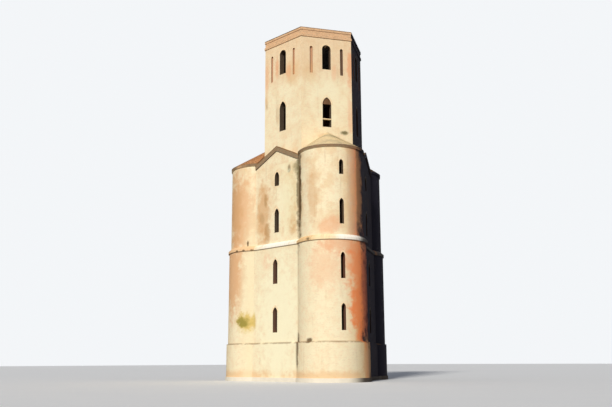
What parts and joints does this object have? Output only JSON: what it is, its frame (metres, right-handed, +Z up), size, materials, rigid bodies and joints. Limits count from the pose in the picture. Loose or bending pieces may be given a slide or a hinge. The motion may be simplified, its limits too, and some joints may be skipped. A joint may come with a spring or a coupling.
{
  "type": "scale model 1:2 of a brick folly tower",
  "caption": "Tall brick folly tower: a hexagonal core with half-round turrets and gables, pointed windows, and a slimmer hexagonal tower above.",
  "frame": {"origin": "on the tower's axis at ground level", "axes": "+Z up; -Y is the outward normal of the south flat side; +Y is the axis of the north turret"},
  "size_m": [10.3236, 9.5116, 21.35],
  "materials": {
    "brick": "weathered stock brick in lime mortar, bleached pale where the sun falls",
    "dressed_band": "pale rendered band, weathered",
    "roof_tile": "plain clay tiles in courses",
    "timber": "wide floor boards, grey with age",
    "lead_roof": "dull lead sheet with rolled joints"
  },
  "bodies": {
    "root": {"bay_arches": "brick", "fifth_floor": "timber", "first_floor": "timber", "fourth_floor": "timber", "gable_copings": "brick", "gable_roofs": "roof_tile", "gables": "brick", "ground_floor": "timber", "north_east_tower_wall": "brick", "north_east_wall_base": "brick", "north_east_wall_lower": "brick", "north_east_wall_upper": "brick", "north_tower_wall": "brick", "north_turret_base": "brick", "north_turret_lower": "brick", "north_turret_upper": "brick", "north_west_tower_wall": "brick", "north_west_wall_base": "brick", "north_west_wall_lower": "brick", "north_west_wall_upper": "brick", "parapet": "brick", "parapet_coping": "brick", "roof_deck": "lead_roof", "second_floor": "timber", "sixth_floor": "timber", "south_east_tower_wall": "brick", "south_east_turret_base": "brick", "south_east_turret_lower": "brick", "south_east_turret_upper": "brick", "south_tower_wall": "brick", "south_wall_base": "brick", "south_wall_lower": "brick", "south_wall_upper": "brick", "south_west_tower_wall": "brick", "south_west_turret_base": "brick", "south_west_turret_lower": "brick", "south_west_turret_upper": "brick", "string_course_flat_sides": "dressed_band", "string_course_turrets": "dressed_band", "third_floor": "timber", "tower_cornice": "brick", "turret_roofs": "roof_tile", "window_head_board": "timber", "window_transom": "dressed_band"}
  },
  "joints": []
}
